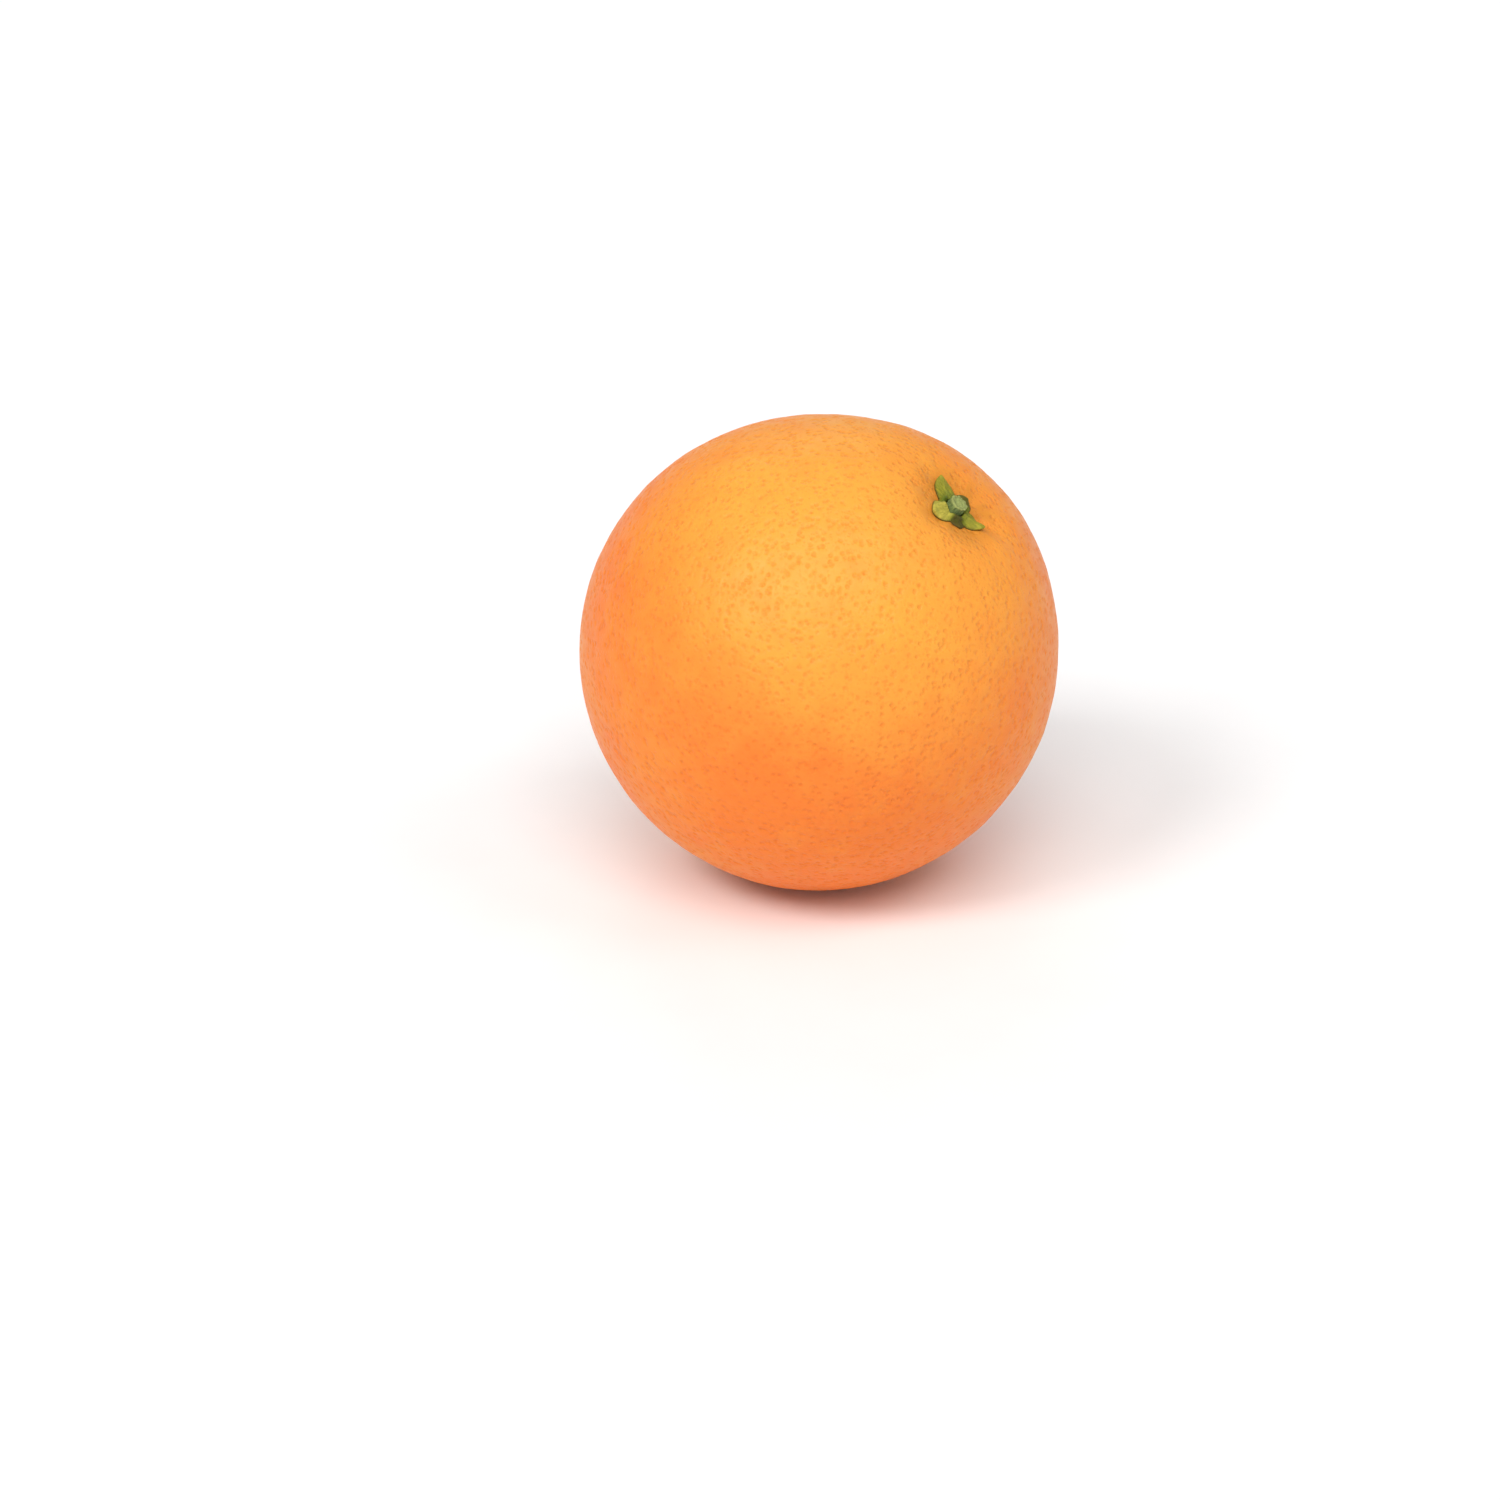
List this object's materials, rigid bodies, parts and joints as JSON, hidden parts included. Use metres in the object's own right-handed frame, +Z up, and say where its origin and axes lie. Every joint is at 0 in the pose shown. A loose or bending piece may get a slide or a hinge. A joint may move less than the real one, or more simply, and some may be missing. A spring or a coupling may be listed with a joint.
{
  "type": "orange",
  "caption": "Whole fresh sweet orange with pitted peel, a small green calyx and a clipped stem stub, leaning on a small flat spot.",
  "frame": {"origin": "middle of the small flat spot that the orange rests on", "axes": "+Z up from the ground; the stem end leans over from +Z towards +X"},
  "size_m": [0.0766, 0.076, 0.0764],
  "materials": {
    "peel": "waxy orange peel with small pits, satin",
    "sepal": "dry yellow-green sepals, matte",
    "cut_stem": "pale green cut stem, matte"
  },
  "bodies": {
    "root": {"fruit": "peel", "calyx": "sepal", "stem_stub": "cut_stem"}
  },
  "joints": []
}
